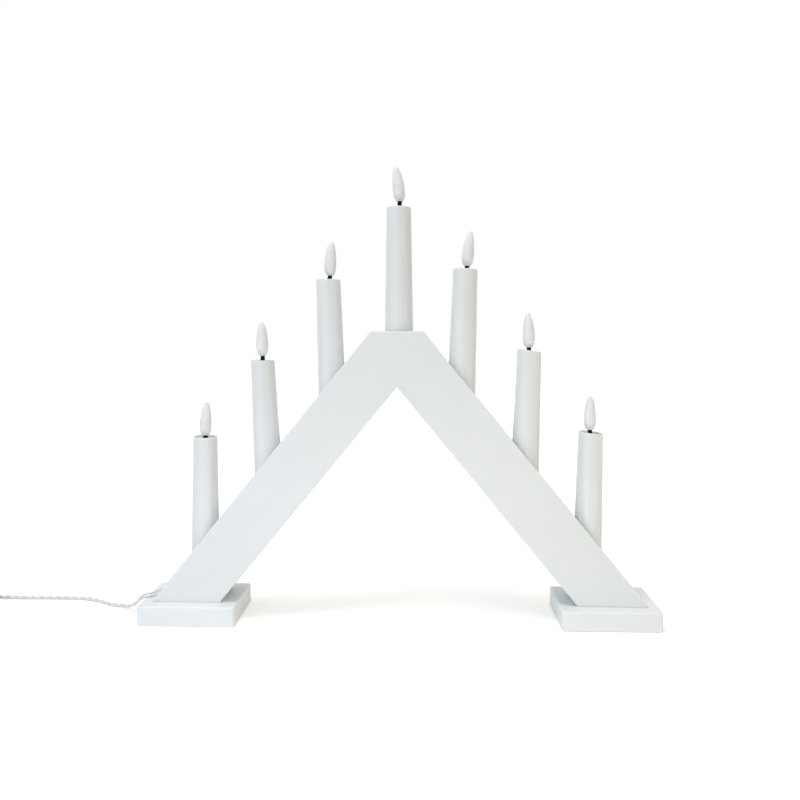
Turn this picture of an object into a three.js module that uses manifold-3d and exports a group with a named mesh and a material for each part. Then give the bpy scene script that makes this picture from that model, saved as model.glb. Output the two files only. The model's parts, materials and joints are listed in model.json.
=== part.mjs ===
// Electric advent candle arch: two lacquered arms on flat feet, seven candle sleeves with flame lamps, and its lead.
// Millimetres. X runs along the arch, Y towards its back and Z up from the table. The origin is on the table,
// below the apex and midway between the front and the back of the feet.
import * as THREE from 'three';
import { mergeVertices } from 'three/addons/utils/BufferGeometryUtils.js';
import Module from 'manifold-3d';

const wasm = await Module();
wasm.setup();

// Arms and feet
const span = 450;                 // outer side of one foot to outer side of the other
const footWidth = 85;
const footDepth = 62;
const footHeight = 17.3;
const footCorner = 2.6;           // rounding of the upright edges
const footEdge = 2.0;             // rounding of the top and bottom edges
const armSlope = THREE.MathUtils.degToRad(50.6);
const armFace = 46.8;             // width of an arm's front face, square to its slope
const armEdge = 1.4;
const armToe = 9;                 // top of the foot left free outside the arm
const apexFlat = 44;              // width of the flat on top
const dowelRadius = 4;
const dowelLength = 36;
const dowelShift = -0.2;          // up from midway between the inner corner of the apex and the wires
const dowelSpread = 18;           // front dowel to back dowel
const footScrewInset = 20;        // from the arm's outer face
const footScrewSpread = 18;

// Candle sleeves
const sleeveLength = 118;
const sleeveTop = 20.6;           // diameters
const sleeveBase = 24.8;
const sleeveBore = 17.2;
const sleeveEdge = 0.6;            // slope on the rim's outer edge
const rimWall = 1.3;
const cupDepth = 2.5;
const cupFloor = 2.2;
const seatWall = 1.3;             // wood between a seat and the wires' groove behind it
const leftPitch = 57.4;           // from candle to candle along X
const rightPitch = 55.6;
const apexSeatDepth = 13;
const apexShift = 1.3;            // of the top candle to the right of the apex

// Wicks, flames and diodes
const ballRadius = 3.0;
const wickRadius = 1.7;
const flameHeight = 28.9;
const flameRadius = 5.05;
const flameNeck = 2.5;            // outer radius where the wick goes in
const flameWall = 0.9;
const flameBend = 1.2;            // sideways offset of the tip
const flameShoulder = 0.3;        // share of the height below the widest ring
const wickTuck = 3.0;             // length of wick inside the flame
const diodeRadius = 1.5;
const diodeLength = 5;

// Wiring behind the arms
const wireRadius = 1.1;
const grooveDepth = 2.8;
const grooveWidth = 4.4;
const coverThick = 2.0;
const coverWidth = 15;
const coverRunOut = 7;            // past the lowest candle
const pocketRadius = 6.5;         // space for the wire below each sleeve
const pocketRoom = 5.2;
const crossRadius = 2.2;
const leadTopRoom = 24;           // from the end of a branch to the top of its sleeve
const exitRise = 4.7;             // the lead's hole above the foot
const leadTuck = 10;              // length of lead inside that hole

// Lead, coil and adapter
const leadRadius = 1.5;
const coilRadius = 23;            // outermost turn
const turnGap = 0.5;              // between the coil's turns, sideways and upwards
const coilLayers = 4;
const coilTurns = 15;
const coilCentre = new THREE.Vector2(-400, 4.5);
const tieThick = 0.9;
const tieWidth = 5;
const adapterWidth = 32;
const adapterTall = 25;
const adapterLength = 46;
const adapterCorner = 5;
const adapterEdge = 2;
const adapterWall = 2;
const faceThick = 3;
const pinRadius = 2;
const pinLength = 19;
const pinSpread = 18.6;
const reliefLength = 16;
const reliefRadius = 4.2;
const adapterGap = 10;            // from the coil to the strain relief
const adapterY = 15;

// Clearances
const restGap = 0.3;              // between pieces that rest on or end at each other
const slideGap = 0.3;             // round a sleeve's foot in its seat
const fitGap = 0.15;              // round dowels, screws and pins
const ballGap = 0.25;
const wireGap = 0.2;

// Each candle: its arm (-1 left, 0 apex, 1 right), its place on it, the depth of its seat below the arm's face,
// and its lean to the right; then the wick left showing, the flame's lean and the way that the flame's tip bends.
const candles = [
  { side: -1, place: 3, seatDepth: 26.5, lean: 1.5, wickShow: 1.1, flameLean: 0.8, tipTurn: 0 },
  { side: -1, place: 2, seatDepth: 29.5, lean: -1.8, wickShow: 4.3, flameLean: -0.5, tipTurn: -90 },
  { side: -1, place: 1, seatDepth: 30.5, lean: -1.3, wickShow: 3.6, flameLean: 1.9, tipTurn: 0 },
  { side: 0, place: 0, seatDepth: apexSeatDepth, lean: 0, wickShow: 4.5, flameLean: -2.5, tipTurn: 180 },
  { side: 1, place: 1, seatDepth: 24.5, lean: 1.4, wickShow: 2.8, flameLean: 4.3, tipTurn: 0 },
  { side: 1, place: 2, seatDepth: 27, lean: 1.2, wickShow: 3.5, flameLean: 0.5, tipTurn: 180 },
  { side: 1, place: 3, seatDepth: 30, lean: 0.2, wickShow: 2.2, flameLean: 0.5, tipTurn: -90 },
];

// Free stretch of the lead, from its hole over the foot's edge to the table and off to the left
const leadRoute = [
  [-221, 0, 19.5], [-224.6, 0.2, 18.5], [-228.5, 0.8, 15.4], [-233, 2, 11.2], [-238.6, 4.4, 6.8],
  [-245.4, 7.6, 3.7], [-253, 10, 2.1], [-261, 11.6, 1.7], [-270, 15.2, 1.7], [-280, 21, 1.7],
  [-292, 25.6, 1.7], [-307, 27.6, 1.7], [-325, 27.9, 1.7], [-345, 27.7, 1.7], [-364, 27.5, 1.8], [-382, 27.5, 2.3],
];

// Worked out from the sizes above
const tanSlope = Math.tan(armSlope);
const cosSlope = Math.cos(armSlope);
const sinSlope = Math.sin(armSlope);
const armFootX = span / 2 - armToe;
const peak = footHeight + armFootX * tanSlope;      // where the two outer faces would meet
const apexZ = peak - (apexFlat / 2) * tanSlope;
const innerApexZ = peak - armFace / cosSlope;
const seatRadius = sleeveBase / 2 + slideGap;
const armDepth = 2 * (seatRadius + seatWall + grooveDepth + wireGap + coverThick);
const backY = armDepth / 2;
const deepestSeat = Math.max(...candles.filter((c) => c.side !== 0).map((c) => c.seatDepth));
const wireDrop = deepestSeat + pocketRoom / 2;      // of the wire below an arm's outer face, straight down
const linkZ = apexZ - apexSeatDepth - pocketRoom / 2;
const kneeX = (peak - wireDrop - linkZ) / tanSlope;
const grooveY = backY - coverThick - wireGap - grooveDepth;
const wireY = grooveY + wireGap + wireRadius;
const dowelZ = (innerApexZ + linkZ) / 2 + dowelShift;
const ballDrop = cupDepth + cupFloor / 2;           // of the wick's ball below the sleeve's rim
const coilStep = 2 * leadRadius + turnGap;          // from turn to turn, sideways and upwards

// Finishes
const paint = (color, roughness, metalness = 0) =>
  new THREE.MeshStandardMaterial({ color, roughness, metalness });
const lacquer = paint(0xeff0f2, 0.42);
const candleWhite = paint(0xe4e7e9, 0.5);
const wickBlack = paint(0x0d0d0d, 0.7);
const milk = paint(0xd9dcdd, 0.35);
const clear = paint(0xf2f4f6, 0.15);
const steel = paint(0xb9bcc0, 0.35, 1);
const beech = paint(0xd2b48c, 0.8);
const wirePvc = paint(0xdfe1e1, 0.4);
const tieBlack = paint(0x1d1d1f, 0.6);
const adapterWhite = paint(0xececec, 0.45);
const nickel = paint(0xc8c8c4, 0.3, 1);

const holder = new THREE.Group();

// A closed geometry as a solid for joining and cutting, with its faces turned outwards
function toSolid(geometry, matrix = new THREE.Matrix4()) {
  const bare = geometry.index ? geometry.toNonIndexed() : geometry.clone();
  bare.deleteAttribute('normal');
  bare.deleteAttribute('uv');
  bare.applyMatrix4(matrix);
  const merged = mergeVertices(bare, 1e-4);
  const triVerts = dropSlivers(merged.index.array);
  const vertProperties = new Float32Array(merged.attributes.position.array);
  if (signedVolume(vertProperties, triVerts) < 0) {
    for (let i = 0; i < triVerts.length; i += 3) {
      [triVerts[i], triVerts[i + 1]] = [triVerts[i + 1], triVerts[i]];
    }
  }
  return new wasm.Manifold(new wasm.Mesh({ numProp: 3, vertProperties, triVerts }));
}

function dropSlivers(index) {
  const kept = [];
  for (let i = 0; i < index.length; i += 3) {
    const [a, b, c] = [index[i], index[i + 1], index[i + 2]];
    if (a !== b && b !== c && c !== a) kept.push(a, b, c);
  }
  return new Uint32Array(kept);
}

function signedVolume(points, index) {
  const corner = (i) => new THREE.Vector3().fromArray(points, 3 * i);
  let sum = 0;
  for (let i = 0; i < index.length; i += 3) {
    sum += corner(index[i]).dot(corner(index[i + 1]).cross(corner(index[i + 2])));
  }
  return sum;
}

function toGeometry(solid) {
  const mesh = solid.getMesh();
  const geometry = new THREE.BufferGeometry();
  geometry.setAttribute('position', new THREE.BufferAttribute(new Float32Array(mesh.vertProperties), 3));
  geometry.setIndex(new THREE.BufferAttribute(new Uint32Array(mesh.triVerts), 1));
  return geometry;
}

function joinAll(solids) {
  return solids.reduce((whole, next) => whole.add(next));
}

function addPiece(parent, name, solid, material) {
  const piece = new THREE.Mesh(toGeometry(solid), material);
  piece.name = name;
  parent.add(piece);
  return piece;
}

const at = (x, y, z) => new THREE.Matrix4().makeTranslation(x, y, z);

// A profile of [radius, height] points turned round Z
function turned(profile, sides) {
  const points = profile.map(([r, z]) => new THREE.Vector2(r, z));
  return new THREE.LatheGeometry(points, sides).rotateX(Math.PI / 2);
}

function block(x0, x1, y0, y1, z0, z1) {
  return toSolid(
    new THREE.BoxGeometry(x1 - x0, y1 - y0, z1 - z0),
    at((x0 + x1) / 2, (y0 + y1) / 2, (z0 + z1) / 2),
  );
}

// A round bar between two points
function bar(from, to, radius, sides = 12) {
  const along = new THREE.Vector3().subVectors(to, from);
  const geometry = new THREE.CylinderGeometry(radius, radius, along.length(), sides);
  const turn = new THREE.Quaternion().setFromUnitVectors(
    new THREE.Vector3(0, 1, 0),
    along.clone().normalize(),
  );
  const middle = new THREE.Vector3().addVectors(from, to).multiplyScalar(0.5);
  return toSolid(geometry, new THREE.Matrix4().compose(middle, turn, new THREE.Vector3(1, 1, 1)));
}

// Straight lengths of wire with a ball at every corner
function wire(points, radius) {
  const lengths = points.slice(1).map((point, i) => bar(points[i], point, radius, 6));
  const corners = points.slice(1, -1).map((point) =>
    toSolid(new THREE.SphereGeometry(radius, 6, 4), at(point.x, point.y, point.z)));
  return joinAll([...lengths, ...corners]);
}

// An outline in X and Z carried from one Y to another, with its front and back edges rounded
function boardXZ(outline, frontY, rearY, edge = 0) {
  const geometry = new THREE.ExtrudeGeometry(new THREE.Shape(outline), {
    depth: rearY - frontY - 2 * edge,
    bevelEnabled: edge > 0,
    bevelThickness: edge,
    bevelSize: edge,
    bevelOffset: -edge,
    bevelSegments: 2,
  });
  return toSolid(geometry.rotateX(Math.PI / 2), at(0, rearY - edge, 0));
}

function roundedRectangle(width, height, corner) {
  const [w, h] = [width / 2, height / 2];
  const shape = new THREE.Shape();
  shape.absarc(w - corner, h - corner, corner, 0, Math.PI / 2);
  shape.absarc(corner - w, h - corner, corner, Math.PI / 2, Math.PI);
  shape.absarc(corner - w, corner - h, corner, Math.PI, 1.5 * Math.PI);
  shape.absarc(w - corner, corner - h, corner, 1.5 * Math.PI, 2 * Math.PI);
  return shape;
}

// A rounded rectangle carried up Z from 0, with its end edges rounded
function roundedBlock(width, depth, height, corner, edge) {
  return new THREE.ExtrudeGeometry(roundedRectangle(width, depth, corner), {
    depth: height - 2 * edge,
    curveSegments: 3,
    bevelEnabled: edge > 0,
    bevelThickness: edge,
    bevelSize: edge,
    bevelOffset: -edge,
    bevelSegments: 2,
  }).translate(0, 0, edge);
}

// Countersunk screw along Z, with its head's face at 0 and its tip below; room widens it into its own hole
function screwSolid(size, room = 0) {
  const { head, headTall, shank, length } = size;
  const tip = 2 * shank;
  const top = room > 0 ? 4 : 0;
  return toSolid(turned([
    [0, -length - room],
    [shank + room, tip - length],
    [shank + room, -headTall],
    [head + room, 0],
    ...(top ? [[head + room, top]] : []),
    [0, top],
  ], 12));
}

function crossSlot(size) {
  const { head, slotDeep } = size;
  const [long, thin] = [0.62 * head, 0.16 * head];
  return block(-long, long, -thin, thin, -slotDeep, 1).add(block(-thin, thin, -long, long, -slotDeep, 1));
}

const footScrew = { head: 4, headTall: 2.6, shank: 2, length: 34, slotDeep: 1.6, sunk: 0.6 };
const coverScrew = { head: 2.3, headTall: 1.3, shank: 1.15, length: 12, slotDeep: 0.9, sunk: 0.1 };

// Seats of the candles
function seatOf(candle) {
  const pitch = candle.side < 0 ? leftPitch : rightPitch;
  const x = candle.side === 0 ? apexShift : candle.side * candle.place * pitch;
  const faceZ = candle.side === 0 ? apexZ : peak - Math.abs(x) * tanSlope;
  const lean = THREE.MathUtils.degToRad(candle.lean);
  const axis = new THREE.Vector3(Math.sin(lean), 0, Math.cos(lean));
  const mouth = new THREE.Vector3(x, 0, faceZ);
  const foot = mouth.clone().addScaledVector(axis, -candle.seatDepth);
  const drop = candle.side === 0 ? apexSeatDepth + pocketRoom / 2 : wireDrop;
  const branch = mouth.clone().addScaledVector(axis, -drop);
  return { x, lean, axis, mouth, foot, branch };
}

const runZ = (x) => Math.min(linkZ, peak - wireDrop - Math.abs(x) * tanSlope);

// The wire's line on one arm as a band of a given width, from the apex to past the lowest candle
function runBand(side, halfWidth, startX, room = 0) {
  const pitch = side < 0 ? leftPitch : rightPitch;
  const endX = 3 * pitch + coverRunOut + room * cosSlope;
  const endZ = peak - wireDrop - endX * tanSlope;
  const kneeShift = halfWidth * (1 - cosSlope) / sinSlope;
  const outline = [
    [startX, linkZ - halfWidth],
    [kneeX - kneeShift, linkZ - halfWidth],
    [endX - halfWidth * sinSlope, endZ - halfWidth * cosSlope],
    [endX + halfWidth * sinSlope, endZ + halfWidth * cosSlope],
    [kneeX + kneeShift, linkZ + halfWidth],
    [startX, linkZ + halfWidth],
  ];
  return outline.map(([x, z]) => new THREE.Vector2(side * x, z));
}

// Places of one cover's screws, below the wire
function coverScrewSpots(side) {
  const pitch = side < 0 ? leftPitch : rightPitch;
  const offset = coverWidth / 2 - coverScrew.head - 0.4;
  return [0.55, 2.5].map((share) => {
    const x = share * pitch;
    const z = peak - wireDrop - x * tanSlope;
    return new THREE.Vector3(side * (x - offset * sinSlope), backY - coverScrew.sunk, z - offset * cosSlope);
  });
}

const coverScrewTurn = new THREE.Matrix4().makeRotationX(-Math.PI / 2);
const coverScrewMatrix = (spot) => at(spot.x, spot.y, spot.z).multiply(coverScrewTurn);
const footScrewTurn = new THREE.Matrix4().makeRotationX(Math.PI);

function footScrewSpots(side) {
  return [-1, 1].map((row) => new THREE.Vector3(
    side * (armFootX - footScrewInset),
    row * footScrewSpread / 2,
    footScrew.sunk,
  ));
}

const footScrewMatrix = (spot) => at(spot.x, spot.y, spot.z).multiply(footScrewTurn);
const dowelSpots = [-dowelSpread / 2, dowelSpread / 2];

// Where the lead leaves the left arm, and the line of its hole down from the lowest candle's pocket
const lowestLeft = seatOf(candles[0]);
const exitZ = footHeight + exitRise;
const exitPoint = new THREE.Vector3(-(peak - exitZ) / tanSlope, 0, exitZ);
const exitLine = new THREE.Vector3().subVectors(exitPoint, lowestLeft.branch).normalize();
const exitAt = (distance) => exitPoint.clone().addScaledVector(exitLine, distance);

function seatCut(candle) {
  const { axis, mouth, foot, branch } = seatOf(candle);
  const reach = seatRadius * tanSlope + 20;
  return joinAll([
    bar(foot, mouth.clone().addScaledVector(axis, reach), seatRadius, 24),
    bar(branch.clone().addScaledVector(axis, -pocketRoom / 2), foot.clone().addScaledVector(axis, 1), pocketRadius),
    bar(branch, new THREE.Vector3(branch.x, grooveY + 1, runZ(branch.x)), crossRadius, 8),
  ]);
}

function armSolid(side) {
  const over = 8;
  const lowZ = footHeight - over;
  const outline = [
    [-over, apexZ],
    [apexFlat / 2, apexZ],
    [(peak - lowZ) / tanSlope, lowZ],
    [(innerApexZ - lowZ) / tanSlope, lowZ],
    [-over, innerApexZ + over * tanSlope],
  ].map(([x, z]) => new THREE.Vector2(side * x, z));
  const trim = side < 0
    ? block(-span, 0, -armDepth, armDepth, footHeight, peak)
    : block(0, span, -armDepth, armDepth, footHeight, peak);
  const seats = candles.filter((c) => c.side === side || c.side === 0).map(seatCut);
  const rebateHalf = coverWidth / 2 + wireGap;
  const cuts = [
    ...seats,
    boardXZ(runBand(side, grooveWidth / 2, -over), grooveY, backY + 1),
    boardXZ(runBand(side, rebateHalf, -over, wireGap), backY - coverThick - wireGap, backY + 1),
    ...coverScrewSpots(side).map((spot) => toSolid(
      toGeometry(screwSolid(coverScrew, fitGap)),
      coverScrewMatrix(spot),
    )),
    ...footScrewSpots(side).map((spot) => toSolid(
      toGeometry(screwSolid(footScrew, fitGap)),
      footScrewMatrix(spot),
    )),
    ...dowelSpots.map((y) => bar(
      new THREE.Vector3(-dowelLength / 2 - restGap, y, dowelZ),
      new THREE.Vector3(dowelLength / 2 + restGap, y, dowelZ),
      dowelRadius + fitGap,
      12,
    )),
  ];
  if (side < 0) cuts.push(bar(lowestLeft.branch, exitAt(12), leadRadius + restGap, 10));
  return cuts.reduce((arm, cut) => arm.subtract(cut), boardXZ(outline, -backY, backY, armEdge).intersect(trim));
}

function buildFrame() {
  for (const [side, name] of [[-1, 'left'], [1, 'right']]) {
    addPiece(holder, `${name}_arm`, armSolid(side), lacquer);

    const footX = side * (span - footWidth) / 2;
    const holes = footScrewSpots(side).map((spot) => toSolid(
      toGeometry(screwSolid(footScrew, fitGap)),
      footScrewMatrix(spot),
    ));
    const foot = toSolid(roundedBlock(footWidth, footDepth, footHeight, footCorner, footEdge), at(footX, 0, 0));
    addPiece(holder, `${name}_foot`, holes.reduce((solid, hole) => solid.subtract(hole), foot), lacquer);

    footScrewSpots(side).forEach((spot, i) => {
      const screw = screwSolid(footScrew).subtract(crossSlot(footScrew));
      const piece = addPiece(holder, `${name}_foot_screw_${i + 1}`, screw, steel);
      piece.position.copy(spot);
      piece.rotation.x = Math.PI;
    });

    const strip = boardXZ(runBand(side, coverWidth / 2, restGap / 2), backY - coverThick, backY);
    const spots = coverScrewSpots(side);
    const drilled = spots.reduce((solid, spot) => solid.subtract(toSolid(
      toGeometry(screwSolid(coverScrew, fitGap)),
      coverScrewMatrix(spot),
    )), strip);
    addPiece(holder, `${name}_cover`, drilled, lacquer);
    spots.forEach((spot, i) => {
      const screw = screwSolid(coverScrew).subtract(crossSlot(coverScrew));
      const piece = addPiece(holder, `${name}_cover_screw_${i + 1}`, screw, steel);
      piece.position.copy(spot);
      piece.rotation.x = -Math.PI / 2;
    });
  }
  dowelSpots.forEach((y, i) => {
    const end = dowelLength / 2;
    const dowel = bar(new THREE.Vector3(-end, y, dowelZ), new THREE.Vector3(end, y, dowelZ), dowelRadius, 12);
    addPiece(holder, i === 0 ? 'front_dowel' : 'back_dowel', dowel, beech);
  });
}

// The wires behind one arm: a run down the groove and a branch up the middle of each sleeve
function harnessSolid(side) {
  const served = candles.filter((c) => c.side === side || (side < 0 && c.side === 0));
  const branches = served.map((candle) => {
    const { axis, foot, branch } = seatOf(candle);
    const top = foot.clone().addScaledVector(axis, sleeveLength - leadTopRoom);
    const onRun = new THREE.Vector3(branch.x, wireY, runZ(branch.x));
    return wire([onRun, branch, top], wireRadius);
  });
  const lowest = seatOf(candles.find((c) => c.side === side && c.place === 3)).branch;
  const start = side < 0 ? apexShift : Math.max(0, apexShift) + 2 * wireRadius + 2 * restGap;
  const run = wire([
    new THREE.Vector3(start, wireY, linkZ),
    new THREE.Vector3(side * kneeX, wireY, linkZ),
    new THREE.Vector3(lowest.x, wireY, runZ(lowest.x)),
  ], wireRadius);
  const parts = [run, ...branches];
  if (side < 0) parts.push(bar(lowest, exitAt(-leadTuck - restGap), wireRadius, 6));
  return joinAll(parts);
}

// A candle sleeve from its foot at 0 to its rim, open below and cupped above
function sleeveSolid() {
  const [base, top, bore] = [sleeveBase / 2, sleeveTop / 2, sleeveBore / 2];
  const rim = top - rimWall;
  const hole = ballRadius + ballGap;
  const floorTop = sleeveLength - cupDepth;
  return toSolid(turned([
    [bore, 0], [base, 0], [top, sleeveLength - sleeveEdge], [top - sleeveEdge, sleeveLength],
    [rim, sleeveLength], [rim, floorTop],
    [hole, floorTop], [hole, floorTop - cupFloor], [bore, floorTop - cupFloor], [bore, 0],
  ], 24));
}

// A wick from its ball at 0 upwards
function wickSolid(top) {
  const meet = Math.asin(wickRadius / ballRadius);
  const ball = [0, 1, 2, 3, 4, 5].map((i) => {
    const a = Math.PI - (i / 5) * (Math.PI - meet);
    return [i === 0 ? 0 : ballRadius * Math.sin(a), ballRadius * Math.cos(a)];
  });
  return toSolid(turned([...ball, [wickRadius, top], [0, top]], 8));
}

// Radius of the flame at a share of its height: a quick swell from the neck, then a long pointed arch
function flameRadiusAt(share) {
  if (share < flameShoulder) {
    const left = 1 - share / flameShoulder;
    return flameRadius - (flameRadius - flameNeck) * left ** 3.7;
  }
  const above = (share - flameShoulder) / (1 - flameShoulder);
  return flameRadius * Math.max(0, 1 - above ** 2) ** 0.78;
}

// A hollow flame from its neck at 0, with its tip bent towards +X
function flameSolid() {
  const rings = 8;
  const outer = [];
  for (let i = 0; i <= rings; i += 1) {
    const share = 0.5 - 0.5 * Math.cos((Math.PI * i) / rings);
    outer.push([i === rings ? 0 : flameRadiusAt(share), share * flameHeight]);
  }
  const hollow = [0.65, 0.4, 0.2, 0.09].map((share) =>
    [flameRadiusAt(share) - flameWall, share * flameHeight]);
  const mouth = wickRadius + wireGap;
  const geometry = turned([[0, 0.78 * flameHeight], ...hollow, [mouth, 0], ...outer], 12);
  const place = geometry.attributes.position;
  for (let i = 0; i < place.count; i += 1) {
    const share = place.getZ(i) / flameHeight;
    place.setX(i, place.getX(i) + flameBend * share ** 2);
  }
  return toSolid(geometry);
}

function diodeSolid() {
  const dome = [0, 30, 60].map((degrees) => {
    const a = THREE.MathUtils.degToRad(degrees);
    return [diodeRadius * Math.cos(a), diodeLength - diodeRadius * (1 - Math.sin(a))];
  });
  return toSolid(turned([[0, 0], [diodeRadius, 0], ...dome, [0, diodeLength]], 6));
}

function buildCandles() {
  const [sleeve, flame, diode] = [sleeveSolid(), flameSolid(), diodeSolid()];
  candles.forEach((candle, i) => {
    const { lean, foot } = seatOf(candle);
    const stand = new THREE.Group();
    stand.position.copy(foot);
    stand.rotation.y = lean;
    holder.add(stand);
    addPiece(stand, `candle_${i + 1}`, sleeve, candleWhite).position.z = restGap;

    const tilt = new THREE.Group();
    tilt.position.z = restGap + sleeveLength - ballDrop;
    tilt.rotation.y = THREE.MathUtils.degToRad(candle.flameLean) - lean;
    stand.add(tilt);
    const flameFoot = ballDrop + candle.wickShow;
    const wickTop = flameFoot + wickTuck;
    addPiece(tilt, `wick_${i + 1}`, wickSolid(wickTop), wickBlack);
    addPiece(tilt, `led_${i + 1}`, diode, clear).position.z = wickTop + restGap;
    const lamp = addPiece(tilt, `flame_${i + 1}`, flame, milk);
    lamp.position.z = flameFoot;
    lamp.rotation.z = THREE.MathUtils.degToRad(candle.tipTurn);
  });
}

// A tube along a smooth curve through points
function tubeSolid(points, radius, sides, steps) {
  const section = new THREE.Shape();
  for (let i = 0; i < sides; i += 1) {
    const a = (2 * Math.PI * i) / sides;
    const corner = [radius * Math.cos(a), radius * Math.sin(a)];
    if (i === 0) section.moveTo(...corner);
    else section.lineTo(...corner);
  }
  const extrudePath = new THREE.CatmullRomCurve3(points);
  extrudePath.arcLengthDivisions = 20 * points.length;
  return toSolid(new THREE.ExtrudeGeometry(section, { steps, extrudePath }));
}

// Centre of the coil's tube: it spirals in and out by turns, and climbs a layer in the half turn at each reversal
function coilPoints() {
  const steps = 24;
  const lift = leadRadius + tieThick + 2 * restGap;
  const perLayer = coilTurns / coilLayers;
  const points = [];
  for (let i = 0; i <= coilTurns * steps; i += 1) {
    const turns = i / steps;
    const layer = Math.min(Math.floor(turns / perLayer), coilLayers - 1);
    const within = turns - layer * perLayer;
    const inward = layer % 2 === 0 ? within : perLayer - within;
    let height = 0;
    for (let k = 1; k < coilLayers; k += 1) {
      height += THREE.MathUtils.smoothstep(turns - k * perLayer, -0.25, 0.25);
    }
    const radius = coilRadius - coilStep * inward;
    const angle = Math.PI / 2 + 2 * Math.PI * turns;
    points.push(new THREE.Vector3(
      coilCentre.x + radius * Math.cos(angle),
      coilCentre.y + radius * Math.sin(angle),
      lift + coilStep * height,
    ));
  }
  return points;
}

// Least clear space between turns of a tube, leaving out the points that follow on from each other
function leastGap(points, radius, apart) {
  let least = Infinity;
  for (let i = 0; i < points.length; i += 1) {
    for (let j = i + apart; j < points.length; j += 1) {
      least = Math.min(least, points[i].distanceTo(points[j]));
    }
  }
  return least - 2 * radius;
}

function buildLead() {
  const turns = coilPoints();
  const [first, last] = [turns[0], turns[turns.length - 1]];
  const along = new THREE.Vector3(-1, 0, 0);
  const stub = 2 * leadRadius;
  const coilStart = first.clone().addScaledVector(along, -stub);
  const coilEnd = last.clone().addScaledVector(along, stub);
  const coil = [coilStart, ...turns, coilEnd];
  console.log(`least gap between the coil's turns: ${leastGap(turns, leadRadius, 14).toFixed(2)} mm`);
  addPiece(holder, 'lead_coil', tubeSolid(coil, leadRadius, 6, turns.length + 1), wirePvc);

  const route = leadRoute.map((point) => new THREE.Vector3(...point));
  const runEnd = coilStart.clone().addScaledVector(along, -restGap);
  const run = [exitAt(-leadTuck), exitAt(-leadTuck / 2), exitPoint, ...route, runEnd];
  addPiece(holder, 'lead_run', tubeSolid(run, leadRadius, 8, 46), wirePvc);

  const adapterZ = adapterTall / 2;
  const tailStart = coilEnd.clone().addScaledVector(along, restGap);
  const reliefTip = new THREE.Vector3(coilCentre.x - coilRadius - leadRadius - adapterGap, adapterY, adapterZ);
  const tailEnd = reliefTip.clone().addScaledVector(along, -restGap);
  const tail = [0, 0.1, 0.25, 0.4, 0.6, 0.75, 0.9, 1].map((share) => {
    const ease = THREE.MathUtils.smoothstep(share, 0.05, 0.95);
    return new THREE.Vector3(
      THREE.MathUtils.lerp(tailStart.x, tailEnd.x, share),
      THREE.MathUtils.lerp(tailStart.y, tailEnd.y, ease),
      THREE.MathUtils.lerp(tailStart.z, tailEnd.z, ease),
    );
  });
  addPiece(holder, 'lead_tail', tubeSolid(tail, leadRadius, 8, 10), wirePvc);
  buildTie();
  buildAdapter(reliefTip);
}

// A strap round the coil's turns on its far side
function buildTie() {
  const perLayer = coilTurns / coilLayers;
  const inner = coilRadius - coilStep * perLayer - leadRadius - restGap;
  const outer = coilRadius + leadRadius + restGap;
  const low = tieThick + restGap;
  const high = low + coilStep * (coilLayers - 1) + 2 * leadRadius + 2 * restGap;
  const [middle, centre] = [(inner + outer) / 2, (low + high) / 2];
  const strap = (grow, width) => toSolid(
    new THREE.ExtrudeGeometry(
      roundedRectangle(outer - inner + 2 * grow, high - low + 2 * grow, 1.2 + grow),
      { depth: width, curveSegments: 3, bevelEnabled: false },
    ).translate(0, 0, -width / 2).rotateX(Math.PI / 2),
    at(coilCentre.x - middle, coilCentre.y, centre),
  );
  addPiece(holder, 'lead_tie', strap(tieThick, tieWidth).subtract(strap(0, tieWidth + 2)), tieBlack);
}

// A small plug adapter on the table: its lead comes in at the right and its pins point to the left
function buildAdapter(reliefTip) {
  const adapter = new THREE.Group();
  adapter.position.copy(reliefTip);
  adapter.quaternion.setFromRotationMatrix(new THREE.Matrix4().makeBasis(
    new THREE.Vector3(0, -1, 0),
    new THREE.Vector3(0, 0, 1),
    new THREE.Vector3(-1, 0, 0),
  ));
  holder.add(adapter);
  const caseStart = reliefLength;
  const relief = toSolid(turned([
    [0, 0], [leadRadius + 0.9, 0], [leadRadius + 1.3, 0.4], [reliefRadius, reliefLength - 1],
    [reliefRadius, reliefLength - restGap], [0, reliefLength - restGap],
  ], 16));
  addPiece(adapter, 'strain_relief', relief, adapterWhite);

  const shell = toSolid(
    roundedBlock(adapterWidth, adapterTall, adapterLength, adapterCorner, adapterEdge),
    at(0, 0, caseStart),
  );
  const hollow = (shrink, from, depth) => toSolid(
    roundedBlock(adapterWidth - 2 * shrink, adapterTall - 2 * shrink, depth, adapterCorner - shrink / 2, 0),
    at(0, 0, from),
  );
  const faceSeat = adapterWall - 0.5;
  const caseEnd = caseStart + adapterLength;
  const cup = shell
    .subtract(hollow(adapterWall + 1, caseStart + adapterWall, adapterLength))
    .subtract(hollow(faceSeat + adapterEdge, caseEnd - faceThick - restGap, 2 * faceThick));
  addPiece(adapter, 'adapter_case', cup, adapterWhite);

  const pinSpots = [-pinSpread / 2, pinSpread / 2];
  const plate = hollow(faceSeat + adapterEdge + fitGap, caseEnd - faceThick, faceThick);
  const drilled = pinSpots.reduce((solid, x) => solid.subtract(bar(
    new THREE.Vector3(x, 0, caseEnd - 2 * faceThick),
    new THREE.Vector3(x, 0, caseEnd + faceThick),
    pinRadius + fitGap,
    12,
  )), plate);
  addPiece(adapter, 'adapter_face', drilled, adapterWhite);
  pinSpots.forEach((x, i) => {
    const pin = toSolid(turned([
      [0, 0], [pinRadius, 0], [pinRadius, pinLength + 2], [0.55 * pinRadius, pinLength + 3],
      [0, pinLength + 3],
    ], 12), at(x, 0, caseEnd - faceThick));
    addPiece(adapter, `adapter_pin_${i + 1}`, pin, nickel);
  });
}

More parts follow.
